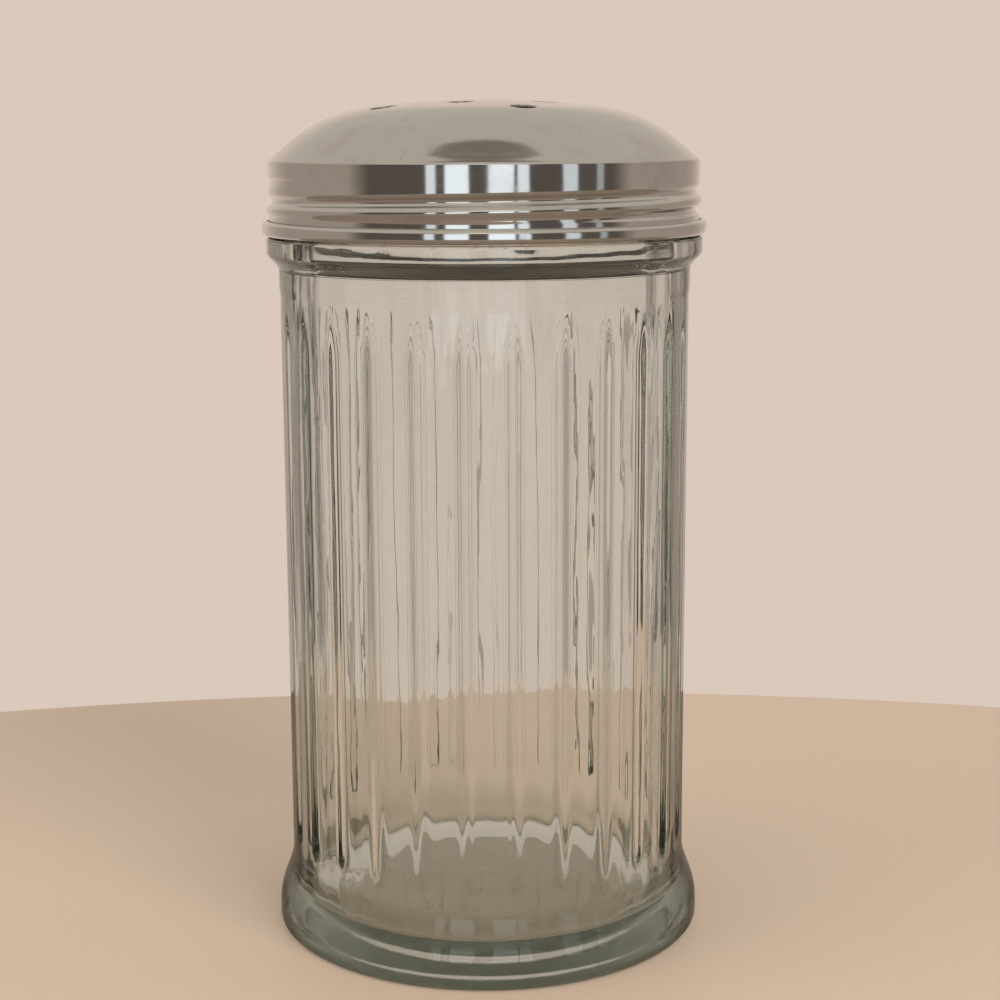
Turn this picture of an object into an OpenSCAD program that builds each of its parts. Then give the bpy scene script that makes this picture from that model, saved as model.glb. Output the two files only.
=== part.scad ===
// Fluted glass shaker jar with a domed, pierced metal lid that screws on
// Millimetres, +Z up, origin on the resting plane at the middle of the foot

/* [Foot] */
// Diameter of the foot
foot_d = 75.8; // [73:0.2:80]
// Height of the straight side of the foot
foot_h = 3; // [2:0.5:5]
// Height over which the foot draws in to the body
foot_flare_h = 10.5; // [7:0.5:12]
// Rounding of the foot's lower edge
foot_edge_r = 1; // [0.4:0.1:1.5]
// Width of the flat ring that the jar rests on
rest_ring_w = 6.9; // [4:0.1:9]
// Depth of the hollow under the foot
push_up_h = 1.2; // [0.6:0.1:2]

/* [Glass body] */
// How far the foot stands out from the body's panels
foot_step = 2.55; // [1.8:0.05:3.5]
// Thickness of the body wall
wall_t = 3.4; // [2.6:0.1:4]
// Thickness of the glass floor
floor_t = 6; // [4.5:0.5:9]
// Rounding between the floor and the wall inside
floor_round_r = 5; // [3:0.5:8]
// Height of the shoulder ledge that the lid stands above
shoulder_h = 122.5; // [110:0.5:140]
// How far the plain band above the flutes stands out from the panels
top_band_step = 0.2; // [0:0.05:0.5]
// How far the shoulder bead stands in from the foot
shoulder_inset = 0.35; // [0:0.05:1]
// Height of the shoulder bead's straight side
shoulder_side_h = 1.9; // [1:0.1:3]
// Height over which the shoulder bead draws in to the band
shoulder_curve_h = 3.1; // [2:0.1:4]

/* [Flutes] */
// Number of grooves around the body
flute_count = 28; // [20:1:32]
// Depth of a groove
flute_depth = 0.75; // [0.3:0.05:1.1]
// Radius of a groove's rounded bottom
flute_r = 1.25; // [1:0.05:1.6]
// Height of the grooves' lower tips
flute_bottom_z = 16.5; // [15:0.5:24]
// Length of the rounded tip at the bottom of a groove
flute_tip_h = 3; // [2:0.5:6]
// Height at which the grooves have run out at the top
flute_top_z = 112; // [100:0.5:112]
// Length over which a groove runs out at the top
flute_run_out_h = 8; // [4:0.5:14]
// Angle of the first groove
flute_angle = 7.3; // [0:0.1:12]

/* [Neck] */
// Gap between the neck and the outside of the lid
neck_gap = 1.6; // [1.5:0.05:2]
// Thickness of the neck wall
neck_wall_t = 3.7; // [3:0.1:4.4]
// Rounding of the rim
rim_r = 1.1; // [0.6:0.1:1.4]

/* [Screw thread] */
// Rise of the thread in one turn
thread_pitch = 3.3; // [3:0.1:3.6]
// Height of the glass thread above the neck
thread_h = 1.05; // [0.8:0.05:1.1]
// Width of the glass thread's crest
thread_crest_w = 0.6; // [0.4:0.1:0.9]
// Width of the glass thread at its root
thread_root_w = 2.2; // [1.8:0.1:2.6]
// Turns of the glass thread
thread_turns = 1.04; // [0.8:0.02:1.1]

/* [Lid] */
// How far the lid's plain band stands in from the shoulder bead
lid_inset = 0.55; // [0.1:0.05:0.8]
// Thickness of the sheet metal
sheet_t = 0.4; // [0.3:0.05:0.5]
// Slope at which the dome's crown ends
crown_slope = 7.5; // [6:0.1:9]
// Width of the bend between the crown and the straight edge of the dome
bend_w = 12; // [9:0.1:14]
// Width of the straight edge of the dome
edge_w = 4.5; // [3:0.1:7]
// Slope of the straight edge
edge_slope = 40.4; // [38:0.1:43]
// Rounding of the crisp corner under the dome
corner_r = 0.6; // [0.5:0.1:1]
// Height of the plain band
band_h = 2.8; // [2.4:0.1:3.2]
// Height of the threaded skirt
skirt_h = 6.5; // [6:0.1:6.8]
// Depth of the rolled thread groove
roll_depth = 0.65; // [0.4:0.05:0.75]
// Height of the bulge beside the rolled groove
roll_bulge = 0.35; // [0.1:0.05:0.45]
// Width of the rolled groove and of the bulge beside it
roll_w = 2.6; // [2:0.1:2.9]
// Height of the rolled groove above the foot of the skirt, on the -X side
roll_lift = 2.7; // [2.3:0.1:3.1]
// Width of the curled bead
bead_w = 1.7; // [1.4:0.1:1.9]
// Height of the curled bead
bead_h = 2.5; // [2:0.1:2.7]
// Height of the plain sheet between the bead and the skirt
bead_neck_h = 0.6; // [0.4:0.1:1]

/* [Holes in the dome] */
// Diameter of a hole
hole_d = 4.3; // [3:0.1:5]
// Holes in each ring
holes_per_ring = 5; // [3:1:6]
// Radius of the outer ring of holes
outer_ring_r = 20.5; // [17:0.5:24]
// Radius of the inner ring of holes
inner_ring_r = 12.5; // [8:0.5:14]
// Angle of the first hole of the outer ring
ring_angle = -72; // [-90:1:0]

/* [Sealing ring] */
// Thickness of the sealing ring
seal_t = 1; // [0.6:0.1:1.2]
// Width of the sealing ring
seal_w = 4.4; // [3:0.1:5]

/* [Clearances] */
// Gap between the lid's bead and the shoulder ledge when the lid is tight
shoulder_gap = 0.23; // [0.1:0.01:0.5]
// Gap between the sealing ring and the rim when the lid is tight
seat_gap = 0.05; // [0.02:0.01:0.2]
// Gap between the sealing ring and the inside of the lid's band
seal_gap = 0.15; // [0.05:0.05:0.3]
// Gap between the sealing ring and the inside of the dome
dome_gap = 0.12; // [0.05:0.01:0.3]

/* [Hidden] */
$fn = 96;
// How far a groove's ends stand clear of the glass
flute_lead_out = 0.2;

// Steps in a round stretch of an outline
arc_steps = 8;
// Rings of the thread in one turn
thread_steps = 64;
// Columns and rows of the threaded skirt
skirt_columns = 90;
skirt_rows = 14;
// How far the skirt's ends reach into the sheet above and below, and stand in from its faces
lap_h = 0.2;
lap_inset = 0.06;
// How far the skirt's foot stands in from the plain band
waist_step = 0.05;

// Radii, all taken from the foot
foot_r = foot_d / 2;
rest_ring_r = foot_r - foot_edge_r - rest_ring_w;
body_r = foot_r - foot_step;
band_r = body_r + top_band_step;
shoulder_r = foot_r - shoulder_inset;
lid_r = shoulder_r - lid_inset;
neck_r = lid_r - neck_gap;
bore_r = neck_r - neck_wall_t;
cavity_r = body_r - wall_t;

// The plain band starts just above the flutes
band_z0 = flute_top_z + 0.3;
band_step_h = 2;

// Heights of the lid, from its bead up to the corner under the dome
bead_bottom_z = shoulder_h + shoulder_gap;
bead_top_z = bead_bottom_z + bead_h;
skirt_z = bead_top_z + bead_neck_h;
band_z = skirt_z + skirt_h;
corner_z = band_z + band_h;
// The sealing ring's upper corner stands dome_gap below the dome's inner face
seal_r = lid_r - sheet_t - seal_gap;
seal_z = corner_z + (lid_r - seal_r) * tan(edge_slope) - sheet_t / cos(edge_slope)
    - dome_gap - seal_t;
rim_z = seal_z - seat_gap;

// Dome: a crown, a tighter bend and a straight edge, each tangent to the next
crown_end_r = lid_r - edge_w - bend_w;
crown_r = crown_end_r / sin(crown_slope);
crown_drop = crown_r * (1 - cos(crown_slope));
bend_r = bend_w / (sin(edge_slope) - sin(crown_slope));
bend_drop = crown_drop + bend_r * (cos(crown_slope) - cos(edge_slope));
apex_z = corner_z + bend_drop + edge_w * tan(edge_slope);

// Lid skirt: the neck of metal above the bead, and the bead
waist_r = lid_r - waist_step;
bead_inner_r = waist_r - sheet_t;

// Helix of the rolled groove: height of its centre at angle a, in degrees from +X
roll_ref_z = skirt_z + roll_lift;
roll_ref_angle = -180;
function roll_z(a) = roll_ref_z + thread_pitch * (a - roll_ref_angle) / 360;
// Where the rolled groove and its bulge fade in and out
roll_start = -450;
roll_end = 236;
bulge_start = -310;
roll_fade = 80;
// How deep the glass thread's root lies in the neck, and the share of its height at its ends
thread_sink = 0.35;
thread_end_k = 0.2;
thread_fade_turns = 0.125;
// The glass thread seats on the rolled groove's upper flank
thread_seat = 1.3;
thread_start = -330;

function arc(cx, cz, r, from, to, n = arc_steps) =
    [for (i = [0:n]) let (a = from + (to - from) * i / n) [cx + r * cos(a), cz + r * sin(a)]];
// Eased change from r0 at z0 to r1 at z1
function ease(r0, z0, r1, z1, n = arc_steps) =
    [for (i = [0:n]) [r0 + (r1 - r0) * (1 - cos(180 * i / n)) / 2, z0 + (z1 - z0) * i / n]];
function smooth(t) = let (c = min(max(t, 0), 1)) c * c * (3 - 2 * c);
function bump(u, w) = abs(u) < w / 2 ? (1 + cos(360 * u / w)) / 2 : 0;
// A helical ridge's strength at angle a: 0 at its ends, 1 between
function fade(a, from, to, over) = smooth((a - from) / over) * smooth((to - a) / over);

// Outside of the glass from the foot to the rim, then back down the inside
function jar_outline() = concat(
    [[0, push_up_h], [rest_ring_r - push_up_h * 4, push_up_h], [rest_ring_r, 0]],
    arc(foot_r - foot_edge_r, foot_edge_r, foot_edge_r, -90, 0),
    ease(foot_r, foot_h, body_r, foot_h + foot_flare_h, 2 * arc_steps),
    ease(body_r, band_z0, band_r, band_z0 + band_step_h),
    ease(band_r, shoulder_h - rim_r / 2 - shoulder_side_h - shoulder_curve_h,
        shoulder_r, shoulder_h - rim_r / 2 - shoulder_side_h),
    arc(shoulder_r - rim_r / 2, shoulder_h - rim_r / 2, rim_r / 2, 0, 90),
    [[neck_r + 0.5, shoulder_h], [neck_r, shoulder_h + 0.5]],
    arc(neck_r - rim_r, rim_z - rim_r, rim_r, 0, 90),
    arc(bore_r + rim_r, rim_z - rim_r, rim_r, 90, 180),
    ease(bore_r, shoulder_h, cavity_r, band_z0),
    arc(cavity_r - floor_round_r, floor_t + floor_round_r, floor_round_r, 0, -90),
    [[0, floor_t]]
);

// A spindle that cuts one groove, narrow at its tip and tapered in two steps at its run-out
module flute_cutter() {
    clear_r = flute_r - flute_depth - flute_lead_out;
    function width(k) = clear_r + (flute_r - clear_r) * k;
    translate([body_r + flute_r - flute_depth, 0, 0])
        rotate_extrude()
            polygon([
                [0, flute_bottom_z],
                [width(0), flute_bottom_z],
                [width(0.7), flute_bottom_z + flute_tip_h * 0.3],
                [width(1), flute_bottom_z + flute_tip_h],
                [width(1), flute_top_z - flute_run_out_h],
                [width(0.6), flute_top_z - flute_run_out_h / 2],
                [width(0), flute_top_z],
                [0, flute_top_z]
            ]);
}

module flutes() {
    for (i = [0:flute_count - 1])
        rotate(flute_angle - 90 + 360 * i / flute_count)
            flute_cutter();
}

// Cross-section of the glass thread at share k of its height, from its lower root corner round
function thread_half_width(r) = thread_root_w / 2
    - (r - neck_r) / thread_h * (thread_root_w - thread_crest_w) / 2;
function thread_section(k) = let (foot = neck_r - thread_sink, tip = neck_r + thread_h * k) [
    [foot, -thread_half_width(foot)],
    [tip, -thread_half_width(tip)],
    [tip, thread_half_width(tip)],
    [foot, thread_half_width(foot)]
];

module glass_thread() {
    n = round(thread_turns * thread_steps);
    fade_n = thread_steps * thread_fade_turns;
    sections = [for (i = [0:n])
        let (
            a = thread_start + 360 * thread_turns * i / n,
            k = max(thread_end_k, smooth(i / fade_n) * smooth((n - i) / fade_n)),
            z = roll_z(a) + thread_seat
        )
        [for (p = thread_section(k)) [p[0] * cos(a), p[0] * sin(a), z + p[1]]]
    ];
    m = len(sections[0]);
    polyhedron(
        points = [for (s = sections) each s],
        faces = concat(
            [[for (j = [m - 1:-1:0]) j]],
            [for (i = [0:n - 1], j = [0:m - 1]) let (a = i * m + j, b = i * m + (j + 1) % m)
                each [[a, b, a + m], [b, b + m, a + m]]],
            [[for (j = [0:m - 1]) n * m + j]]
        )
    );
}

module jar() {
    color([0.80, 0.86, 0.82, 0.45]) {
        difference() {
            rotate_extrude() polygon(jar_outline());
            flutes();
        }
        glass_thread();
    }
}

// Dome and band as one sheet: the outer face, then the inner face back to the axis
function dome_face(inset) = concat(
    arc(0, apex_z - crown_r, crown_r - inset, 90, 90 - crown_slope),
    [for (i = [1:arc_steps]) let (a = crown_slope + (edge_slope - crown_slope) * i / arc_steps)
        [crown_end_r - bend_r * sin(crown_slope) + (bend_r - inset) * sin(a),
         apex_z - crown_drop - bend_r * cos(crown_slope) + (bend_r - inset) * cos(a)]],
    arc(lid_r - corner_r, corner_z - corner_r * tan(edge_slope / 2) + 0.1,
        corner_r - inset, 90 - edge_slope, 0, 4),
    [[lid_r - inset, band_z]]
);

module dome() {
    outer = dome_face(0);
    inner = dome_face(sheet_t);
    rotate_extrude()
        polygon(concat(outer, [for (i = [len(inner) - 1:-1:0]) inner[i]]));
}

module hole_ring(r, first_angle) {
    for (i = [0:holes_per_ring - 1])
        rotate(first_angle + 360 * i / holes_per_ring)
            translate([r, 0, corner_z])
                cylinder(d = hole_d, h = apex_z);
}

// Outer radius of the skirt at angle a and height z, with the groove rolled into it
function roll_sum(a, z, shift, from, to) = max([for (turn = [-2:1])
    let (t = a + 360 * turn)
    t < from || t > to ? 0
        : bump(z - roll_z(t) - shift, roll_w) * fade(t, from, to, roll_fade)]);
function skirt_radius(a, z) = waist_r
    + (lid_r - waist_r) * smooth((z - skirt_z) * 2)
    - roll_depth * roll_sum(a, z, 0, roll_start, roll_end)
    + roll_bulge * roll_sum(a, z, -thread_pitch / 2, bulge_start, roll_end - roll_fade / 2);

// The threaded skirt: sheet of even thickness between the band and the bead
module skirt() {
    rows = concat([-lap_h], [for (j = [0:skirt_rows]) skirt_h * j / skirt_rows], [skirt_h + lap_h]);
    last = len(rows) - 1;
    n = skirt_columns;
    function lapped(j) = j < 1 || j > last - 1;
    function outer(a, j) = lapped(j) ? (j < 1 ? waist_r : lid_r) - lap_inset
        : min(skirt_radius(a, skirt_z + rows[j]), j < 2 || j > last - 2
            ? (j < 2 ? waist_r : lid_r) - lap_inset : lid_r * 2);
    function inner(a, j) = lapped(j) || j < 2 || j > last - 2
        ? (j < 2 ? waist_r : lid_r) - sheet_t + lap_inset : outer(a, j) - sheet_t;
    ring = last + 1;
    points = [for (i = [0:n - 1]) let (a = 360 * i / n) each concat(
        [for (j = [0:last]) [outer(a, j) * cos(a), outer(a, j) * sin(a), skirt_z + rows[j]]],
        [for (j = [last:-1:0]) [inner(a, j) * cos(a), inner(a, j) * sin(a), skirt_z + rows[j]]]
    )];
    m = 2 * ring;
    polyhedron(
        points = points,
        faces = [for (i = [0:n - 1], j = [0:m - 1])
            let (a = i * m + j, b = i * m + (j + 1) % m, c = (i + 1) % n * m)
            each [[a, b, c + j], [b, c + (j + 1) % m, c + j]]]
    );
}

// The sheet below the skirt, curled outward and up into a hollow bead with a slit
module bead() {
    r = bead_w / 2;
    cx = bead_inner_r + r;
    low = bead_bottom_z + r;
    high = bead_top_z - r;
    hollow = r - sheet_t;
    rotate_extrude()
        polygon(concat(
            [[bead_inner_r, skirt_z]],
            arc(cx, low, r, 180, 360),
            arc(cx, high, r, 0, 120),
            arc(cx, high, hollow, 120, 0),
            arc(cx, low, hollow, 0, -180),
            [[bead_inner_r + sheet_t, skirt_z]]
        ));
}

module lid() {
    color([0.76, 0.76, 0.75]) {
        difference() {
            dome();
            hole_ring(outer_ring_r, ring_angle);
            hole_ring(inner_ring_r, ring_angle + 180 / holes_per_ring);
            hole_ring(0, 0);
        }
        skirt();
        bead();
    }
}

module sealing_ring() {
    color([0.88, 0.87, 0.82])
        translate([0, 0, seal_z])
            rotate_extrude()
                translate([seal_r - seal_w, 0])
                    square([seal_w, seal_t]);
}

jar();
lid();
sealing_ring();
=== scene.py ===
import math

import bpy
import numpy as np
from mathutils import Matrix, Vector
from mathutils.geometry import delaunay_2d_cdt


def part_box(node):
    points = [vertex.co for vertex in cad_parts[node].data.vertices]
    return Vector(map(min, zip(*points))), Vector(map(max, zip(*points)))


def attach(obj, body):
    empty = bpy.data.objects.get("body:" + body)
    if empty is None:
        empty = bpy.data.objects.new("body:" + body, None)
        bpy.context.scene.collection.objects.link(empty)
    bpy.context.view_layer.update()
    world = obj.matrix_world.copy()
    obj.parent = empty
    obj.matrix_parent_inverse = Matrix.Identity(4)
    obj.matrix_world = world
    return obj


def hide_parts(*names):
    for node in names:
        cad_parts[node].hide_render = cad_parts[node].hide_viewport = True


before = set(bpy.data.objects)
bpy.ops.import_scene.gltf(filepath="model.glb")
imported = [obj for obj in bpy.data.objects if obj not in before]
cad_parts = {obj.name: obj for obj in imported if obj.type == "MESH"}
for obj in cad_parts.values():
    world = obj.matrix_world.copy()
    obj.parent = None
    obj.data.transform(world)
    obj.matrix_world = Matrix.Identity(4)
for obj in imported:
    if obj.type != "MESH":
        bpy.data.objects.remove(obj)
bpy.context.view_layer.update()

MM = 0.001


def node_box(node):
    """Lowest and highest corner of a CAD node, in millimetres."""
    low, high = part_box(node)
    return [c / MM for c in low], [c / MM for c in high]


jar_high = node_box("jar")[1]
lid_low = node_box("lid")[0]
seal_low, seal_high = node_box("sealing_ring")

# Glass, from the foot up
FOOT_R = jar_high[0]
FOOT_EDGE_R = 1
FOOT_H = 3
FOOT_FLARE_H = 10.5
REST_RING_R = FOOT_R - FOOT_EDGE_R - 6.9
PUSH_UP_H = 1.2
PUSH_UP_EDGE_R = REST_RING_R - 4.8
PUSH_UP_FLAT_R = REST_RING_R - 6
BODY_R = FOOT_R - 2.55
WALL_T = 3.4
CAVITY_R = BODY_R - WALL_T
FLOOR_Z = 6
FLOOR_ROUND_R = 1.5
FLOOR_DIP = 0.15
FLOOR_DIP_W = 6
FLOOR_FLAT_R = 10
BAND_R = BODY_R + 0.2
BAND_Z = 112.3
BAND_STEP_H = 2
SHOULDER_R = FOOT_R - 0.35
SHOULDER_Z = 122.5
SHOULDER_EDGE_R = 0.55
SHOULDER_SIDE_H = 1.9
SHOULDER_CURVE_H = 3.1
RIM_Z = jar_high[2]
RIM_R = 1.1
LID_SETBACK = 0.55
NECK_R = SHOULDER_R - LID_SETBACK - 1.6
NECK_T = 3.7
BORE_R = NECK_R - NECK_T

# Small hollow where the neck stands on the shoulder, as steps out from the neck and up
NECK_ROOT = ((0.6, 0), (0.2, 0.15), (0, 0.5))
NECK_ROOT_H = NECK_ROOT[-1][1]

# Heights between the jar's rows of points, how far the close rows go on past the grooves'
# tips and run-out, and the radius of the innermost row
TIP_ROW_H = 0.45
BODY_ROW_H = 7
RUN_OUT_ROW_H = 1
PAST_TIPS_H = 1
PAST_RUN_OUT_H = 2
NECK_ROW_H = 0.3
CAVITY_ROW_H = 8
MIDDLE_R = 4

# Grooves around the body. One of them is 7.3 degrees to the right of the front. The widths
# of their ends are shares of the full width, and rhythms are in radians for each groove
FLUTES = 28
FLUTE_ANGLE = 7.3 - 90
FLUTE_DEPTH = 0.78
FLUTE_DEPTH_SPREAD = 0.1
FLUTE_DEPTH_RHYTHM = 1.9
FLUTE_FULLNESS = 0.8
FLUTE_HALF_W = 1.5
FLUTE_BOTTOM_Z = 16.2
FLUTE_BOTTOM_SPREAD = 0.5
FLUTE_BOTTOM_RHYTHM = 2.7
FLUTE_TIP_H = 3.2
FLUTE_TIP_WIDTH = 0.45
FLUTE_TOP_Z = 112
FLUTE_TOP_WIDTH = 0.55
FLUTE_RUN_OUT_H = 9
PANEL_CROWN = 0.1
# Columns of the jar from a groove's middle towards the panel's, as shares of the way to the
# next groove
PANEL_COLUMNS = (0, 0.035, 0.07, 0.105, 0.14, 0.18, 0.25, 0.36)

# Slow waves of the pressed glass inside: lobes round the jar, phase in radians, radians for
# each millimetre of height, and share of the height of the wave
WAVES = (
    (3, 0, 0.05, 0.5),
    (7, 1.3, 0.03, 0.3),
    (11, 0.4, -0.07, 0.2),
    (FLUTES, 0, 0.02, 0.25),
    (2, 0, 0.16, 0.3),
)
WAVE_H = 0.2
CALM_FLOOR_R = 12

# Screw thread of the glass. Its flank is a share of its half width
THREAD_PITCH = 3.3
THREAD_H = 1.05
THREAD_HALF_W = 1.1
THREAD_FLANK = 0.75
THREAD_FIRST = -330
THREAD_TURNS = 1.04
THREAD_FADE = 45
THREAD_SEAT = 1.3

# Lid, from the bead up
SHEET_T = 0.4
LID_R = SHOULDER_R - LID_SETBACK
WAIST_R = LID_R - 0.05
BEAD_W = 1.7
BEAD_H = 2.5
BEAD_BOTTOM_Z = lid_low[2]
BEAD_TOP_Z = BEAD_BOTTOM_Z + BEAD_H
BEAD_INNER_R = WAIST_R - SHEET_T
SKIRT_Z = BEAD_TOP_Z + 0.6
SKIRT_H = 6.5
SKIRT_BLEND_H = 0.5
SKIRT_OVER_BAND = 0.35
LID_BAND_Z = SKIRT_Z + SKIRT_H
CORNER_Z = LID_BAND_Z + 2.8
CORNER_R = 0.6

# Thread rolled into the skirt: a groove, and a bulge below it
ROLL_LIFT = 2.7
ROLL_DEPTH = 0.65
ROLL_BULGE = 0.35
ROLL_W = 2.6
ROLL_FROM = -450
ROLL_TO = 236
BULGE_FROM = -310
ROLL_FADE = 80

# Dome: crown, bend and a slightly bowed edge, with slopes in radians
CROWN_SLOPE = math.radians(7.5)
EDGE_SLOPE = math.radians(40.4)
EDGE_BOW = math.radians(2)
BEND_W = 12
EDGE_W = 4.5
CROWN_END_R = LID_R - EDGE_W - BEND_W
BEND_END_R = LID_R - EDGE_W
CROWN_R = CROWN_END_R / math.sin(CROWN_SLOPE)
BEND_R = BEND_W / (math.sin(EDGE_SLOPE - EDGE_BOW) - math.sin(CROWN_SLOPE))
EDGE_RISE = EDGE_W * math.tan(EDGE_SLOPE)
CROWN_DROP = CROWN_R * (1 - math.cos(CROWN_SLOPE))
BEND_DROP = BEND_R * (math.cos(CROWN_SLOPE) - math.cos(EDGE_SLOPE - EDGE_BOW))
DOME_TOP_Z = CORNER_Z + EDGE_RISE + BEND_DROP + CROWN_DROP

# Holes in the dome
HOLE_R = 2.15
HOLE_EDGE = 0.15
HOLE_EDGE_DROP = 0.12
HOLES_PER_RING = 5
OUTER_RING_R = 20.5
INNER_RING_R = 12.5
RING_ANGLE = -72
PIERCED_R = 26
HOLE_POINTS = 48
HOLE_GUARD = 0.6
DISC_SPACING = 1.3
FROM_HOLE_EDGE = 0.96
FROM_DISC_RIM = 0.7

# Sealing ring
SEAL_W = 4.4
SEAL_EDGE_R = 0.25
SEAL_COLUMNS = 160

# The lid's columns, the rows of each stretch of its side, and how far the band's rows keep
# from the corner and from the skirt
LID_COLUMNS = 320
DOME_ROWS = 12
CORNER_ROWS = 7
BAND_ROWS = 4
SKIRT_ROWS = 36
BAND_FROM_CORNER = 0.3
BAND_FROM_SKIRT = 0.1

ARC_STEPS = 8


def arc(cx, cz, r, start, end, steps=ARC_STEPS):
    """Points of an arc in the (radius, height) plane."""
    angles = np.radians(np.linspace(start, end, steps + 1))
    return [(cx + r * math.cos(a), cz + r * math.sin(a)) for a in angles]


def ease(r0, z0, r1, z1, steps=ARC_STEPS):
    """An eased change from radius r0 at height z0 to r1 at z1."""
    ts = np.linspace(0, 1, steps + 1)
    return [(r0 + (r1 - r0) * (1 - math.cos(math.pi * t)) / 2, z0 + (z1 - z0) * t) for t in ts]


def straight(r, z0, z1, step):
    """Points between two heights at one radius, without its two ends."""
    count = max(1, round(abs(z1 - z0) / step))
    return [(r, z0 + (z1 - z0) * i / count) for i in range(1, count)]


def circle(cx, cy, r, count):
    """Points of a full circle seen from above."""
    steps = [2 * math.pi * i / count for i in range(count)]
    return [(cx + r * math.cos(a), cy + r * math.sin(a)) for a in steps]


def smooth(t):
    """A soft step from 0 to 1."""
    t = np.clip(t, 0, 1)
    return t * t * (3 - 2 * t)


def bump(u, width):
    """A raised cosine of that full width, 1 at its middle."""
    return np.where(np.abs(u) < width / 2, 0.5 + 0.5 * np.cos(2 * np.pi * u / width), 0)


def roll_z(a):
    """Height of the rolled groove's middle at angle a."""
    return SKIRT_Z + ROLL_LIFT + THREAD_PITCH * (a + 180) / 360


def turns(a, first, last, fade):
    """Each turn of a helix at angle a, with its strength: 0 outside first to last."""
    for turn in range(-2, 2):
        t = a + 360 * turn
        yield t, smooth((t - first) / fade) * smooth((last - t) / fade)


def turned(r, z, angles):
    """Points at radius r and height z, each rows by columns, round the axis."""
    a = np.radians(angles)[None, :]
    return np.stack([r * np.cos(a), r * np.sin(a), z], axis=2)


def spread(values, columns):
    """A column of values repeated over that many columns."""
    return np.repeat(np.array(values)[:, None], columns, axis=1)


def smooth_mesh(name, points, faces):
    """A smooth-shaded mesh from points in millimetres."""
    mesh = bpy.data.meshes.new(name)
    mesh.from_pydata((np.array(points) * MM).tolist(), [], faces)
    mesh.validate()
    mesh.shade_smooth()
    return mesh


def grid_mesh(name, grid, close=False, caps=(False, False)):
    """A mesh from a grid of points, rows by columns. Columns go round; close joins the last
    row to the first, and a cap closes an end with a point on the axis."""
    rows, cols, _ = grid.shape
    verts = grid.reshape(-1, 3)
    faces = []
    for i in range(rows if close else rows - 1):
        a = np.arange(cols) + i * cols
        b = np.roll(np.arange(cols), -1) + i * cols
        up = cols * ((i + 1) % rows) - cols * i
        faces += np.stack([a, b, b + up, a + up], axis=1).tolist()
    for end, row in zip(caps, (0, rows - 1)):
        if end:
            tip = len(verts)
            middle = [0, 0, grid[row, :, 2].mean()]
            verts = np.vstack([verts, middle])
            ring = [(row * cols + j, row * cols + (j + 1) % cols) for j in range(cols)]
            faces += [(b, a, tip) if row == 0 else (a, b, tip) for a, b in ring]
    return smooth_mesh(name, verts, faces)


def add(name, mesh, body, node):
    """Puts a finished mesh in the scene as a piece that rides on a body and stands for a node."""
    piece = bpy.data.objects.new(name, mesh)
    bpy.context.scene.collection.objects.link(piece)
    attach(piece, body)
    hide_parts(node)
    return piece


def flute_columns():
    """Angles of the jar's columns, closer together in the grooves."""
    half = list(PANEL_COLUMNS)
    shares = half + [0.5] + [1 - s for s in reversed(half[1:])]
    pitch = 360 / FLUTES
    return np.array([FLUTE_ANGLE + pitch * (i + s) for i in range(FLUTES) for s in shares])


def flute_cut(angles, z):
    """How far the grooves and the gently crowned panels stand in from the body. No two
    grooves near each other have quite the same depth and lower end."""
    pitch = 360 / FLUTES
    turn = (angles - FLUTE_ANGLE) / pitch
    which = np.round(turn)
    off = (turn - which) * math.radians(pitch) * BODY_R
    bottom = FLUTE_BOTTOM_Z + FLUTE_BOTTOM_SPREAD * np.sin(which * FLUTE_BOTTOM_RHYTHM)
    tip = np.clip((z - bottom) / FLUTE_TIP_H, 0, 1)
    round_tip = np.sqrt(1 - (1 - tip) ** 2)
    run_out = smooth((FLUTE_TOP_Z - z) / FLUTE_RUN_OUT_H)
    low_width = FLUTE_TIP_WIDTH + (1 - FLUTE_TIP_WIDTH) * round_tip
    high_width = FLUTE_TOP_WIDTH + (1 - FLUTE_TOP_WIDTH) * run_out
    width = FLUTE_HALF_W * low_width * high_width
    groove = np.where(np.abs(off) < width, 0.5 + 0.5 * np.cos(np.pi * off / width), 0)
    uneven = 1 + FLUTE_DEPTH_SPREAD * np.sin(which * FLUTE_DEPTH_RHYTHM)
    depth = FLUTE_DEPTH * uneven * round_tip * run_out
    crown = PANEL_CROWN * (off / (math.radians(pitch) / 2 * BODY_R)) ** 2
    return depth * groove ** FLUTE_FULLNESS + crown * round_tip * run_out


def glass_waves(angles, z):
    """The slow unevenness of the inner wall."""
    a = np.radians(angles)
    return WAVE_H * sum(
        share * np.sin(lobes * a + phase + rise * z) for lobes, phase, rise, share in WAVES)


def thread_ridge(angles, z):
    """Height of the glass thread over the neck."""
    ridge = np.zeros(np.broadcast(angles, z).shape)
    last = THREAD_FIRST + 360 * THREAD_TURNS
    for t, strength in turns(angles, THREAD_FIRST, last, THREAD_FADE):
        off = np.abs(z - roll_z(t) - THREAD_SEAT)
        side = smooth((THREAD_HALF_W - off) / (THREAD_HALF_W * THREAD_FLANK))
        ridge = np.maximum(ridge, strength * side)
    return THREAD_H * ridge


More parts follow.
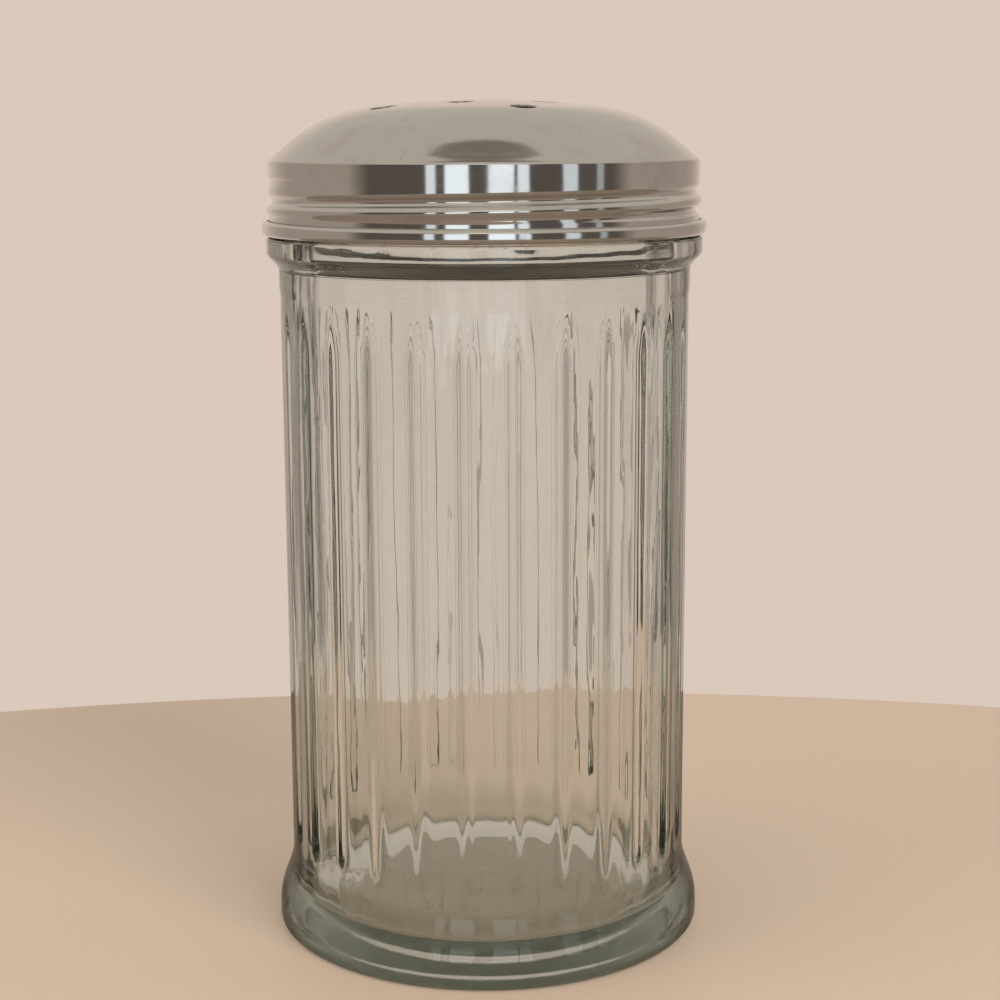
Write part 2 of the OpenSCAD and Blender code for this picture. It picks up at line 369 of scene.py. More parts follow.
def jar_outline():
    """Outside of the glass from under the foot to the rim, then down the inside."""
    flare_top = FOOT_H + FOOT_FLARE_H
    tips_top = FLUTE_BOTTOM_Z + FLUTE_TIP_H + PAST_TIPS_H
    run_out_z = FLUTE_TOP_Z - FLUTE_RUN_OUT_H - PAST_RUN_OUT_H
    edge_z = SHOULDER_Z - SHOULDER_EDGE_R
    side_z = edge_z - SHOULDER_SIDE_H
    rim_z = RIM_Z - RIM_R
    floor_r = CAVITY_R - FLOOR_ROUND_R
    floor_top = FLOOR_Z + FLOOR_ROUND_R
    outside = (
        [(MIDDLE_R, PUSH_UP_H), (PUSH_UP_FLAT_R, PUSH_UP_H)]
        + ease(PUSH_UP_EDGE_R, PUSH_UP_H, REST_RING_R, 0, 6)
        + arc(FOOT_R - FOOT_EDGE_R, FOOT_EDGE_R, FOOT_EDGE_R, -90, 0, 6)
        + ease(FOOT_R, FOOT_H, BODY_R, flare_top, 16)
        + straight(BODY_R, flare_top, tips_top, TIP_ROW_H)
        + straight(BODY_R, tips_top, run_out_z, BODY_ROW_H)
        + straight(BODY_R, run_out_z, BAND_Z, RUN_OUT_ROW_H)
        + ease(BODY_R, BAND_Z, BAND_R, BAND_Z + BAND_STEP_H, 4)
        + ease(BAND_R, side_z - SHOULDER_CURVE_H, SHOULDER_R, side_z, 10)
        + arc(SHOULDER_R - SHOULDER_EDGE_R, edge_z, SHOULDER_EDGE_R, 0, 90, 5)
        + [(NECK_R + out, SHOULDER_Z + up) for out, up in NECK_ROOT]
        + straight(NECK_R, SHOULDER_Z + NECK_ROOT_H, rim_z, NECK_ROW_H)
        + arc(NECK_R - RIM_R, rim_z, RIM_R, 0, 90, 6)
    )
    inside = (
        arc(BORE_R + RIM_R, rim_z, RIM_R, 90, 180, 6)
        + ease(BORE_R, SHOULDER_Z, CAVITY_R, BAND_Z, 12)
        + straight(CAVITY_R, BAND_Z, floor_top, CAVITY_ROW_H)
        + arc(floor_r, floor_top, FLOOR_ROUND_R, 0, -90, 10)
        + [(floor_r - FLOOR_DIP_W, FLOOR_Z - FLOOR_DIP * 2 / 3)]
        + [(r, FLOOR_Z - FLOOR_DIP) for r in (FLOOR_FLAT_R, MIDDLE_R)]
    )
    return outside, inside


def make_jar():
    """The jar: a turned outline with its grooves, its thread and its wavy inner wall."""
    angles = flute_columns()
    outside, inside = jar_outline()
    row_r, row_z = np.array(outside + inside).T
    is_inside = np.arange(len(row_r)) >= len(outside)
    r = spread(row_r, len(angles))
    z = spread(row_z, len(angles))
    lowest_tip = FLUTE_BOTTOM_Z - FLUTE_BOTTOM_SPREAD
    fluted = ~is_inside & (row_z > lowest_tip) & (row_z < FLUTE_TOP_Z)
    r[fluted] -= flute_cut(angles[None, :], z[fluted])
    neck_z = SHOULDER_Z + NECK_ROOT_H
    neck = ~is_inside & (row_z > neck_z) & (row_r > NECK_R - RIM_R)
    r[neck] += thread_ridge(angles[None, :], z[neck])
    cavity = is_inside & (row_z < SHOULDER_Z)
    wavy = smooth((row_r - CALM_FLOOR_R) / CALM_FLOOR_R)[:, None]
    r[cavity] += (glass_waves(angles[None, :], z) * wavy)[cavity]
    return grid_mesh("glass_jar", turned(r, z, angles), caps=(True, True))


def dome_point(r):
    """Height and slope of the dome's outer face at radius r."""
    if r <= CROWN_END_R:
        slope = math.asin(r / CROWN_R)
        return DOME_TOP_Z - CROWN_R * (1 - math.cos(slope)), slope
    if r <= BEND_END_R:
        slope = math.asin(math.sin(CROWN_SLOPE) + (r - CROWN_END_R) / BEND_R)
        drop = BEND_R * (math.cos(CROWN_SLOPE) - math.cos(slope))
        return DOME_TOP_Z - CROWN_DROP - drop, slope
    t = (r - BEND_END_R) / EDGE_W
    bow = EDGE_W * math.tan(EDGE_BOW) * t * (1 - t)
    return (CORNER_Z + (LID_R - r) * math.tan(EDGE_SLOPE) + bow,
            EDGE_SLOPE + EDGE_BOW * (2 * t - 1))


def on_dome(x, y, inset):
    """The point of the dome over (x, y), moved in along its normal."""
    r = math.hypot(x, y)
    z, slope = dome_point(r)
    k = 1 - inset * math.sin(slope) / r if r > 0 else 1
    return x * k, y * k, z - inset * math.cos(slope)


def hole_centres():
    """Two staggered rings of holes and one in the middle."""
    step = 2 * math.pi / HOLES_PER_RING
    first = math.radians(RING_ANGLE)
    rings = ((OUTER_RING_R, first), (INNER_RING_R, first + step / 2))
    return [(0, 0)] + [
        (r * math.cos(a + step * i), r * math.sin(a + step * i))
        for r, a in rings for i in range(HOLES_PER_RING)
    ]


def pierced_disc():
    """Points and triangles of the dome's pierced middle, its rim and its holes' edges."""
    edge_r = HOLE_R + HOLE_EDGE
    centres = hole_centres()
    points = circle(0, 0, PIERCED_R, LID_COLUMNS)
    edges = [(i, (i + 1) % LID_COLUMNS) for i in range(LID_COLUMNS)]
    loops = []
    for c in centres:
        start = len(points)
        points += circle(*c, edge_r, HOLE_POINTS)
        loops.append(list(range(start, start + HOLE_POINTS)))
        edges += [(start + i, start + (i + 1) % HOLE_POINTS) for i in range(HOLE_POINTS)]
        points += circle(*c, edge_r + HOLE_GUARD, HOLE_POINTS)
    clear_of_hole = edge_r + FROM_HOLE_EDGE
    clear_of_rim = PIERCED_R - FROM_DISC_RIM
    for k in range(1, round(PIERCED_R / DISC_SPACING)):
        r = k * DISC_SPACING
        for p in circle(0, 0, r, max(8, round(2 * math.pi * r / DISC_SPACING))):
            if r < clear_of_rim and all(math.dist(p, c) > clear_of_hole for c in centres):
                points.append(p)
    made = delaunay_2d_cdt([Vector(p) for p in points], edges, [], 0, 1e-6)
    verts, faces, origin = made[0], made[2], made[3]
    place = {k: i for i, old in enumerate(origin) for k in old}

    rim = [place[i] for i in range(LID_COLUMNS)]
    loops = [[place[i] for i in loop] for loop in loops]
    # No point lies inside a hole, so a face that fills one has all its corners on its edge
    faces = [f for f in faces if not any(set(loop).issuperset(f) for loop in loops)]
    return [(v.x, v.y) for v in verts], faces, rim, loops


def skirt_radius(angles, z):
    """Outer radius of the threaded skirt, with the groove and the bulge rolled into it."""
    groove = np.zeros(np.broadcast(angles, z).shape)
    bulge = np.zeros_like(groove)
    for t, strength in turns(angles, ROLL_FROM, ROLL_TO, ROLL_FADE):
        groove = np.maximum(groove, strength * bump(z - roll_z(t), ROLL_W))
    for t, strength in turns(angles, BULGE_FROM, ROLL_TO - ROLL_FADE / 2, ROLL_FADE):
        low = z - roll_z(t) + THREAD_PITCH / 2
        bulge = np.maximum(bulge, strength * bump(low, ROLL_W))
    from_bottom = smooth((z - SKIRT_Z) / SKIRT_BLEND_H)
    to_top = smooth((LID_BAND_Z + SKIRT_OVER_BAND - z) / SKIRT_BLEND_H)
    plain = WAIST_R + (LID_R - WAIST_R) * from_bottom
    return plain - (ROLL_DEPTH * groove - ROLL_BULGE * bulge) * from_bottom * to_top


def lid_side_rows():
    """The sheet below the pierced middle, outside down to the bead and inside back up. Each
    row is a radius, a height and an inset. Only rows of the skirt use the inset, and they have
    None for their radius, which skirt_radius gives."""
    dome_radii = np.linspace(PIERCED_R, LID_R - CORNER_R, DOME_ROWS)
    dome = [(r, *dome_point(r)) for r in dome_radii]
    corner_low = CORNER_Z - CORNER_R * math.tan(EDGE_SLOPE / 2)
    corner = [
        (LID_R - CORNER_R + CORNER_R * math.sin(a), corner_low + CORNER_R * math.cos(a), a)
        for a in np.linspace(EDGE_SLOPE, math.pi / 2, CORNER_ROWS)
    ]
    band_heights = np.linspace(
        corner_low - BAND_FROM_CORNER, LID_BAND_Z + BAND_FROM_SKIRT, BAND_ROWS)
    band = [(LID_R, z, math.pi / 2) for z in band_heights]

    def sheet(inset):
        return [(r - inset * math.sin(slope), z - inset * math.cos(slope), 0)
                for r, z, slope in dome + corner + band]

    skirt = np.linspace(LID_BAND_Z, SKIRT_Z, SKIRT_ROWS)
    half = BEAD_W / 2
    hollow = half - SHEET_T
    cx = BEAD_INNER_R + half
    low = BEAD_BOTTOM_Z + half
    high = BEAD_TOP_Z - half
    curl = (
        arc(cx, low, hollow, 180, 360)
        + arc(cx, high, hollow, 0, 120)
        + arc(cx, high, half, 120, 0, 10)
        + arc(cx, low, half, 0, -180, 14)
    )
    return (
        sheet(0)
        + [(None, z, 0) for z in skirt]
        + [(r, z, 0) for r, z in curl]
        + [(None, z, SHEET_T) for z in skirt[::-1]]
        + sheet(SHEET_T)[::-1]
    )


def make_lid():
    """The lid: one sheet with its pierced dome, rolled thread and curled bead."""
    points, triangles, rim, loops = pierced_disc()
    angles = np.arange(LID_COLUMNS) * 360 / LID_COLUMNS
    rows = lid_side_rows()
    r = np.array([
        [radius] * LID_COLUMNS if radius is not None else skirt_radius(angles, np.array(z)) - inset
        for radius, z, inset in rows
    ])
    side = turned(r, spread([z for _, z, _ in rows], LID_COLUMNS), angles)

    count = len(points)
    verts = [on_dome(x, y, inset) for inset in (0, SHEET_T) for x, y in points]
    faces = [tuple(f) for f in triangles]
    faces += [tuple(i + count for i in reversed(f)) for f in triangles]
    shrink = HOLE_R / (HOLE_R + HOLE_EDGE)
    for (cx, cy), loop in zip(hole_centres(), loops):
        start = len(verts)
        for i in loop:
            x, y = points[i]
            verts.append(on_dome(cx + (x - cx) * shrink, cy + (y - cy) * shrink, HOLE_EDGE_DROP))
        for j in range(HOLE_POINTS):
            following = (j + 1) % HOLE_POINTS
            a, b = loop[j], loop[following]
            c, d = start + j, start + following
            faces += [(a, b, d, c), (c, d, b + count, a + count)]
    base = len(verts)
    verts += side[1:-1].reshape(-1, 3).tolist()
    last = len(rows) - 3

    def at(row, j):
        """A point's number in a row of the side, whose ends are the rims of the two discs."""
        j %= LID_COLUMNS
        if row < 0:
            return rim[j]
        return rim[j] + count if row > last else base + row * LID_COLUMNS + j

    for row in range(-1, last + 1):
        faces += [(at(row, j), at(row + 1, j), at(row + 1, j + 1), at(row, j + 1))
                  for j in range(LID_COLUMNS)]
    return smooth_mesh("metal_lid", verts, faces)


def make_seal():
    """A flat ring with softened edges."""
    outer, low, high = seal_high[0], seal_low[2], seal_high[2]
    inner = outer - SEAL_W
    soft = SEAL_EDGE_R
    rows = (
        arc(outer - soft, high - soft, soft, 90, 0, 4)
        + arc(outer - soft, low + soft, soft, 0, -90, 4)
        + arc(inner + soft, low + soft, soft, 270, 180, 4)
        + arc(inner + soft, high - soft, soft, 180, 90, 4)
    )
    row_r, row_z = np.array(rows).T
    angles = np.arange(SEAL_COLUMNS) * 360 / SEAL_COLUMNS
    grid = turned(spread(row_r, SEAL_COLUMNS), spread(row_z, SEAL_COLUMNS), angles)
    return grid_mesh("ring_seal", grid[::-1], close=True)


def rgb(r, g, b):
    """An opaque colour."""
    return (r, g, b, 1.0)


class Nodes:
    """A short way to write node trees."""

    def __init__(self, tree):
        self.tree = tree
        tree.nodes.clear()

    def put(self, node, key, value):
        """Sets or links an input by its name, or by its number as i0, i1 and so on."""
        by_number = key[0] == "i" and key[1:].isdigit()
        socket = node.inputs[int(key[1:]) if by_number else key]
        if isinstance(value, bpy.types.NodeSocket):
            self.tree.links.new(value, socket)
        else:
            socket.default_value = value

    def add(self, kind, settings=None, **inputs):
        """Makes a node. Its inputs' names have _ in place of a space."""
        node = self.tree.nodes.new(kind)
        for key, value in (settings or {}).items():
            setattr(node, key, value)
        for key, value in inputs.items():
            self.put(node, key.replace("_", " "), value)
        return node

    def math(self, operation, a, b=0.0, clamp=False):
        return self.add(
            "ShaderNodeMath", {"operation": operation, "use_clamp": clamp}, i0=a, i1=b).outputs[0]

    def times(self, first, *others):
        """The product of several values."""
        for value in others:
            first = self.math("MULTIPLY", first, value)
        return first

    def away(self, value, middle):
        """How far a value lies from a middle."""
        return self.math("ABSOLUTE", self.math("ADD", value, -middle))

    def vector_math(self, operation, a, b=(0, 0, 0)):
        return self.add("ShaderNodeVectorMath", {"operation": operation}, i0=a, i1=b)

    def noise(self, vector, scale, detail, rough=0.5):
        return self.add("ShaderNodeTexNoise", Vector=vector, Scale=scale, Detail=detail,
                        Roughness=rough).outputs["Fac"]

    def range(self, value, low, high, to_low, to_high):
        """A soft change from to_low at low to to_high at high."""
        return self.add(
            "ShaderNodeMapRange", {"interpolation_type": "SMOOTHSTEP"}, Value=value, From_Min=low,
            From_Max=high, To_Min=to_low, To_Max=to_high).outputs["Result"]

    def mix(self, factor, a, b):
        """A colour from a to b."""
        return self.add(
            "ShaderNodeMix", {"data_type": "RGBA"}, i0=factor, i6=a, i7=b).outputs[2]

    def mix_values(self, factor, a, b):
        """A value from a to b."""
        return self.add(
            "ShaderNodeMix", {"data_type": "FLOAT"}, i0=factor, i2=a, i3=b).outputs[0]

    def stretched(self, vector, scale):
        return self.add("ShaderNodeMapping", Vector=vector, Scale=scale).outputs[0]


def new_material(name):
    """An empty material and its nodes."""
    material = bpy.data.materials.new(name)
    material.use_nodes = True
    return material, Nodes(material.node_tree)


# Glass: its clean and smeared surface, its shadow, and the colour and density of its depth
CLEAN_GLASS = rgb(0.985, 0.99, 0.985)
SMEARED_GLASS = rgb(0.955, 0.97, 0.96)
GLASS_SHADOW = rgb(0.82, 0.84, 0.81)
GLASS_DEPTH = rgb(0.63, 0.675, 0.635)
GLASS_DEPTH_DENSITY = 56.0
# Painted shade: glass that is turned away is darkened to give its edges and flanks dark
# streaks. Then the turn over which it comes, and the head start that the outer faces have
PAINTED_EDGE_SHADE = rgb(0.12, 0.11, 0.095)
EDGE_SHADE_TURN = (0.7, 0.98)
OUTER_START = 0.17
# Radii between which the inner faces end and the outer ones start
OUTER_FROM_R = CAVITY_R + 0.6
OUTER_TO_R = CAVITY_R + 1.6
# Roughness of the worn underside that the jar stands on, and the heights over which it ends
WORN_ROUGHNESS = 0.12
WORN_FROM_Z = PUSH_UP_H + 0.05
WORN_TO_Z = PUSH_UP_H + 0.3


def glass_material():
    """Clear pressed glass with a faint green in its depth, gentle ripples, painted shade on its
    edges and a worn underside."""
    material, n = new_material("clear_glass")
    place = n.add("ShaderNodeTexCoord").outputs["Object"]
    ripple = n.noise(n.stretched(place, (1, 1, 0.25)), scale=110, detail=2)
    fine = n.noise(n.stretched(place, (1, 1, 0.15)), scale=420, detail=2)
    ripples = n.math("ADD", ripple, n.times(fine, 0.25))
    waves = n.add("ShaderNodeBump", Strength=0.16, Distance=0.0008, Height=ripples)
    smear = n.noise(place, scale=60, detail=5)
    clean = n.mix(n.range(smear, 0.35, 0.7, 0, 1), CLEAN_GLASS, SMEARED_GLASS)

    turned_away = n.add("ShaderNodeLayerWeight", Blend=0.5).outputs["Facing"]
    flat_place = n.vector_math("MULTIPLY", place, (1, 1, 0)).outputs[0]
    radius = n.vector_math("LENGTH", flat_place).outputs["Value"]
    outer = n.range(radius, OUTER_FROM_R * MM, OUTER_TO_R * MM, 0, 1)
    turned_away = n.math("ADD", turned_away, n.times(outer, OUTER_START))
    # Painted shade: glass turned away from the view is darkened towards the edge shade
    colour = n.mix(n.range(turned_away, *EDGE_SHADE_TURN, 0, 1), clean, PAINTED_EDGE_SHADE)

    height = n.add("ShaderNodeSeparateXYZ", Vector=place).outputs["Z"]
    worn = n.range(height, WORN_FROM_Z * MM, WORN_TO_Z * MM, WORN_ROUGHNESS, 0)
    roughness = n.math("ADD", worn, n.range(smear, 0.55, 0.8, 0.0, 0.05))
    glass = n.add(
        "ShaderNodeBsdfPrincipled", Base_Color=colour, Roughness=roughness, IOR=1.5,
        Transmission_Weight=1.0, Normal=waves.outputs["Normal"])

    clear = n.add("ShaderNodeBsdfTransparent", Color=GLASS_SHADOW)
    in_shadow = n.add("ShaderNodeLightPath").outputs["Is Shadow Ray"]
    see = n.add("ShaderNodeMixShader", Fac=in_shadow, i1=glass.outputs[0], i2=clear.outputs[0])
    depth = n.add(
        "ShaderNodeVolumeAbsorption", Color=GLASS_DEPTH, Density=GLASS_DEPTH_DENSITY)
    n.add("ShaderNodeOutputMaterial", Surface=see.outputs[0], Volume=depth.outputs[0])
    return material


STEEL = rgb(0.66, 0.655, 0.64)
DIRTY_STEEL = rgb(0.5, 0.475, 0.44)
DULL_STEEL = rgb(0.34, 0.325, 0.3)
DIRT = 0.42
# Lowest and highest roughness of the mirror band and of the satin dome, and what dirt and
# the dull inside add
MIRROR_ROUGHNESS = (0.035, 0.09)
SATIN_ROUGHNESS = (0.06, 0.11)
DIRT_ROUGHNESS = 0.1
DULL_ROUGHNESS = 0.3
SATIN_FADE_H = 0.5
# A face is partly dull where its plane passes the middle of the lid's bottom closer than
# this, in metres
DULL_FADE = 0.001


def steel_material():
    """Polished sheet steel: a satin dome, a mirror band, faint smudges of use and a dull
    inside."""
    material, n = new_material("polished_steel")
    where = n.add("ShaderNodeTexCoord").outputs
    place = where["Object"]
    height = n.add("ShaderNodeSeparateXYZ", Vector=place).outputs["Z"]
    on_dome_share = n.range(height, CORNER_Z * MM, (CORNER_Z + SATIN_FADE_H) * MM, 0, 1)
    # Faces that look towards the middle of the lid's bottom are its inside
    from_middle = n.vector_math("SUBTRACT", place, (0, 0, SKIRT_Z * MM)).outputs[0]
    outward = n.vector_math("DOT_PRODUCT", from_middle, where["Normal"]).outputs["Value"]
    inside = n.range(outward, -DULL_FADE, DULL_FADE, 1, 0)

    smudge = n.range(n.noise(place, scale=90, detail=5, rough=0.6), 0.52, 0.68, 0, 1)
    spots = n.range(n.noise(place, scale=260, detail=2), 0.64, 0.74, 0, 1)
    dirt = n.times(n.math("MAXIMUM", smudge, spots), DIRT)
    fine = n.noise(n.stretched(place, (1, 1, 18)), scale=700, detail=3)
    mirror = n.range(fine, 0.2, 0.8, *MIRROR_ROUGHNESS)
    satin = n.range(fine, 0.2, 0.8, *SATIN_ROUGHNESS)
    rough = n.mix_values(on_dome_share, mirror, satin)
    rough = n.math("ADD", rough, n.times(dirt, DIRT_ROUGHNESS))
    rough = n.math("ADD", rough, n.times(inside, DULL_ROUGHNESS))
    dents = n.noise(place, scale=55, detail=2)
    bumps = n.add("ShaderNodeBump", Strength=0.1, Distance=0.0006, Height=dents)
    colour = n.mix(inside, n.mix(dirt, STEEL, DIRTY_STEEL), DULL_STEEL)
    metal = n.add(
        "ShaderNodeBsdfPrincipled", Base_Color=colour, Metallic=1.0, Roughness=rough,
        Normal=bumps.outputs["Normal"])
    n.add("ShaderNodeOutputMaterial", Surface=metal.outputs[0])
    return material


RING_DARK = rgb(0.8, 0.79, 0.73)
RING_LIGHT = rgb(0.87, 0.86, 0.81)


def seal_material():
    """Off-white ring plastic with a faint mottle."""
    material, n = new_material("ring_plastic")
    place = n.add("ShaderNodeTexCoord").outputs["Object"]
    mottle = n.noise(place, scale=300, detail=4)
    grain = n.noise(place, scale=2500, detail=2)
    skin = n.add("ShaderNodeBump", Strength=0.15, Distance=0.0001, Height=grain)
    plastic = n.add(
        "ShaderNodeBsdfPrincipled", Base_Color=n.mix(mottle, RING_DARK, RING_LIGHT),
        Roughness=n.range(mottle, 0.3, 0.7, 0.45, 0.6), Normal=skin.outputs["Normal"])
    n.add("ShaderNodeOutputMaterial", Surface=plastic.outputs[0])
    return material


def mirrored_rays(n, path):
    """1 for rays that metal or glass mirrors. A ray through glass counts as glossy too."""
    return n.math(
        "SUBTRACT", path.outputs["Is Glossy Ray"], path.outputs["Is Transmission Ray"], clamp=True)


# Table top, with the air between it and the foot
TABLE_R = 500
TABLE_Y = -360
TABLE_COLUMNS = 192
# Rings of the table: share of its radius, and height
TABLE_RINGS = ((0.04, 0), (0.4, 0), (0.8, 0), (0.998, 0), (1, -1), (1, -20))
AIR_FILM = 0.15
TABLE = rgb(0.62, 0.48, 0.365)
TABLE_SHADE = 0.94
# Painted reflection: the darker colour that metal and glass mirror of the table
PAINTED_TABLE_REFLECTION = rgb(0.24, 0.185, 0.14)


def make_table():
    """A plain round pale table top, with a painted darker reflection where metal and glass mirror
    it.
    """
    share, height = np.array(TABLE_RINGS, float).T
    angles = np.arange(TABLE_COLUMNS) * 360 / TABLE_COLUMNS
    r = spread(share * TABLE_R, TABLE_COLUMNS)
    z = spread(height, TABLE_COLUMNS)
    mesh = grid_mesh("table", turned(r, z, angles)[::-1], caps=(False, True))
    mesh.shade_flat()
    table = bpy.data.objects.new("table", mesh)
    table.location = (0, TABLE_Y * MM, -AIR_FILM * MM)
    bpy.context.scene.collection.objects.link(table)

    material, n = new_material("pale_table")
    place = n.add("ShaderNodeTexCoord").outputs["Object"]
    shaded = rgb(*[c * TABLE_SHADE for c in TABLE[:3]])
    pale = n.mix(n.noise(place, scale=8, detail=3), TABLE, shaded)
    # Painted reflection: rays that metal and glass mirror see the table darker
    colour = n.mix(mirrored_rays(n, n.add("ShaderNodeLightPath")), pale, PAINTED_TABLE_REFLECTION)
    surface = n.add("ShaderNodeBsdfPrincipled", Base_Color=colour, Roughness=0.55)
    n.add("ShaderNodeOutputMaterial", Surface=surface.outputs[0])
    table.data.materials.append(material)


# The room. A direction in it has x, y and z from -1 to 1 and an azimuth, counted from
# straight behind the camera. Pairs are where a soft edge starts and ends. The plain wall is
# dimmer behind the camera
WALL = rgb(0.70, 0.585, 0.50)
DIM_WALL = rgb(0.42, 0.34, 0.28)
DIM_WALL_Y = (-0.95, 0.1)
DIM_WALL_SHARE = 0.5
# Light on surfaces that are neither mirror nor glass
FILL = rgb(0.62, 0.59, 0.56)

# What metal and glass mirror: ceiling, side walls and the dim side around the camera
CEILING = rgb(0.58, 0.52, 0.445)
CEILING_Z = (0.22, 0.45)
SIDE_WALL = rgb(0.42, 0.345, 0.285)
SIDE_WALL_TO = (125, 165)
DIM_SIDE = rgb(0.12, 0.1, 0.085)
DIM_SIDE_MIDDLE = 4
DIM_SIDE_TO = (64, 80)
# A dark patch overhead, like a lens, with the bends of its far and its near edge
PATCH = rgb(0.22, 0.19, 0.16)
PATCH_Z = (0.5, 0.6)
PATCH_FAR = (0.206, 0.222)
PATCH_FAR_BEND = 0.3
PATCH_NEAR = (0.11, 0.13)
PATCH_NEAR_BEND = -1.19
# A warm glow above the window
GLOW = rgb(1.05, 0.97, 0.82)
GLOW_FROM = (-30, -4)
GLOW_TO = (12, 34)
GLOW_BOTTOM_Z = (0.3, 0.4)
GLOW_TOP_Z = (0.55, 0.7)
# The window, and its panes: first and last azimuth, and brightness
WINDOW = rgb(1.25, 1.35, 1.42)
WINDOW_BOTTOM_Z = (-0.2, -0.12)
WINDOW_TOP_Z = (0.2, 0.32)
PANE_EDGE = 0.7
PANES = (
    (-30, -25, 0.75),
    (-20, -8, 0.95),
    (2, 15, 1.3),
    (17, 23, 0.8),
    (41, 49, 0.6),
    (60, 64, 0.3),
)

# What glass shows behind it: faint uprights on both sides of each of the room's four
# directions, at that angle from it, and two dark ones towards the back
UPRIGHT = rgb(0.4, 0.33, 0.28)
UPRIGHT_AT = 33
QUARTER_TURN = 90
DARK_UPRIGHT = rgb(0.03, 0.025, 0.02)
DARK_UPRIGHT_AT = 122
# From the middle of an upright to where its soft side starts and ends
UPRIGHT_SIDE = (5.5, 11.5)


def window_light(n, azimuth, z):
    """Brightness of the window's panes."""
    panes = 0.0
    for first, last, strength in PANES:
        pane = n.times(
            n.range(azimuth, first - PANE_EDGE, first + PANE_EDGE, 0, strength),
            n.range(azimuth, last - PANE_EDGE, last + PANE_EDGE, 1, 0))
        panes = n.math("ADD", panes, pane)
    return n.times(panes, n.range(z, *WINDOW_BOTTOM_Z, 0, 1), n.range(z, *WINDOW_TOP_Z, 1, 0))


def mirrored_room(n, x, y, z, azimuth, low):
    """The room that metal and glass mirror, without its window."""
    side = n.away(azimuth, DIM_SIDE_MIDDLE)
    side_walls = n.mix(n.range(side, *SIDE_WALL_TO, 0, 1), SIDE_WALL, WALL)
    room = n.mix(low, CEILING, side_walls)
    dim = n.times(n.range(side, *DIM_SIDE_TO, 1, 0), low)
    room = n.mix(dim, room, DIM_SIDE)

    bend = n.times(x, x)
    far_edge = n.math("ADD", y, n.times(bend, PATCH_FAR_BEND))
    near_edge = n.math("ADD", y, n.times(bend, PATCH_NEAR_BEND))
    patch = n.times(
        n.range(far_edge, *PATCH_FAR, 1, 0), n.range(near_edge, *PATCH_NEAR, 0, 1),
        n.range(z, *PATCH_Z, 0, 1))
    room = n.mix(patch, room, PATCH)

    glow = n.times(
        n.range(azimuth, *GLOW_FROM, 0, 1), n.range(azimuth, *GLOW_TO, 1, 0),
        n.range(z, *GLOW_BOTTOM_Z, 0, 1), n.range(z, *GLOW_TOP_Z, 1, 0))
    return n.mix(glow, room, GLOW)


def room_through_glass(n, azimuth, low):
    """The pale room with its uprights, which glass shows behind it, without its window."""
    from_side = n.away(n.math("PINGPONG", azimuth, QUARTER_TURN / 2), UPRIGHT_AT)
    faint = n.times(n.range(from_side, *UPRIGHT_SIDE, 1, 0), low)
    from_dark = n.away(n.math("ABSOLUTE", azimuth), DARK_UPRIGHT_AT)
    dark = n.times(n.range(from_dark, *UPRIGHT_SIDE, 1, 0), low)
    return n.mix(dark, n.mix(faint, WALL, UPRIGHT), DARK_UPRIGHT)


def make_world():
    """A plain pale wall. Metal and glass mirror a room with a window and a dim side, and
    glass shows the room's uprights and window behind it."""
    world = bpy.data.worlds.new("room")
    bpy.context.scene.world = world
    world.use_nodes = True
    n = Nodes(world.node_tree)
    way = n.add("ShaderNodeTexCoord").outputs["Generated"]
    x, y, z = n.add("ShaderNodeSeparateXYZ", Vector=way).outputs
    azimuth = n.times(n.math("ARCTAN2", x, n.times(y, -1.0)), math.degrees(1))
    low = n.range(z, *CEILING_Z, 1, 0)
    window = window_light(n, azimuth, z)

    dimmed = n.times(n.range(y, *DIM_WALL_Y, 1, 0), DIM_WALL_SHARE)
    plain = n.mix(dimmed, WALL, DIM_WALL)
    mirrored = n.mix(window, mirrored_room(n, x, y, z, azimuth, low), WINDOW)
    behind = n.mix(window, room_through_glass(n, azimuth, low), WINDOW)

    path = n.add("ShaderNodeLightPath")
    through = path.outputs["Is Transmission Ray"]
    seen = n.mix(through, n.mix(mirrored_rays(n, path), plain, mirrored), behind)
    mirror_or_glass = n.math("MAXIMUM", path.outputs["Is Glossy Ray"], through)
    shown = n.math("MAXIMUM", path.outputs["Is Camera Ray"], mirror_or_glass)
    sky = n.add("ShaderNodeBackground", Color=n.mix(shown, FILL, seen), Strength=1.0)
    n.add("ShaderNodeOutputWorld", Surface=sky.outputs[0])


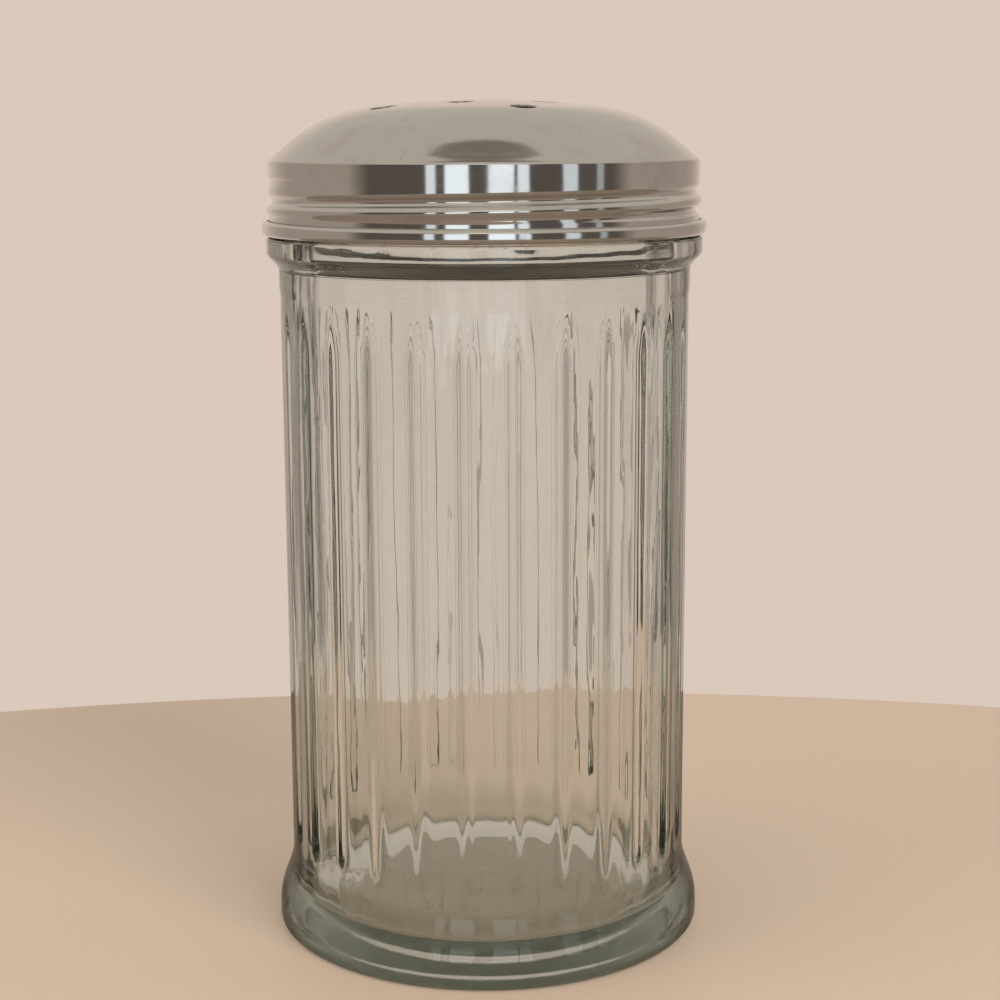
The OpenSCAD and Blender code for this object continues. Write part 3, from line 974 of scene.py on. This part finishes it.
# Lamps: name, place and size in metres, watts and colour. They face the jar's middle
LAMPS = (
    ("key_light", (0.55, -0.75, 0.75), 0.6, 9, (1.0, 0.97, 0.93)),
    ("fill_light", (-0.8, -0.3, 0.5), 0.7, 3, (1.0, 0.96, 0.92)),
)
LAMP_AIM = (0, 0, 0.07)


def make_lamps():
    """Soft square lamps, which metal and glass don't show."""
    for name, place, size, watts, colour in LAMPS:
        data = bpy.data.lights.new(name, "AREA")
        data.shape = "SQUARE"
        data.size = size
        data.energy = watts
        data.color = colour
        lamp = bpy.data.objects.new(name, data)
        bpy.context.scene.collection.objects.link(lamp)
        lamp.location = place
        aim = Vector(LAMP_AIM) - Vector(place)
        lamp.rotation_euler = aim.to_track_quat("-Z", "Y").to_euler()
        lamp.visible_glossy = False
        lamp.visible_transmission = False


# Camera, solved from the photograph, with its place in metres and its angles in radians
CAMERA_PLACE = (0, -0.339, 0.1396)
CAMERA_PITCH = math.radians(10.66)
CAMERA_YAW = math.radians(0.42)
CAMERA_ROLL = math.radians(0.25)
CAMERA_LENS = 70
CAMERA_SENSOR_W = 36


def make_camera():
    """The camera, which looks along +Y and down."""
    data = bpy.data.cameras.new("camera")
    data.sensor_width = CAMERA_SENSOR_W
    data.lens = CAMERA_LENS
    camera = bpy.data.objects.new("camera", data)
    bpy.context.scene.collection.objects.link(camera)
    level = math.cos(CAMERA_PITCH)
    way = Vector((
        math.sin(CAMERA_YAW) * level, math.cos(CAMERA_YAW) * level, -math.sin(CAMERA_PITCH)))
    turn = way.to_track_quat("-Z", "Y").to_matrix().to_4x4()
    roll = Matrix.Rotation(-CAMERA_ROLL, 4, "Z")
    camera.matrix_world = Matrix.Translation(CAMERA_PLACE) @ turn @ roll
    bpy.context.scene.camera = camera


make_camera()
make_world()
make_table()
make_lamps()

jar = add("glass_jar", make_jar(), "jar", "jar")
jar.data.materials.append(glass_material())
lid = add("metal_lid", make_lid(), "lid", "lid")
lid.data.materials.append(steel_material())
seal = add("ring_seal", make_seal(), "sealing_ring", "sealing_ring")
seal.data.materials.append(seal_material())

# Light is led on round the thick foot instead of ending there in black
cycles = bpy.context.scene.cycles
cycles.max_bounces = 32
cycles.glossy_bounces = 24
cycles.transmission_bounces = 24

bpy.context.scene.view_settings.view_transform = "Standard"
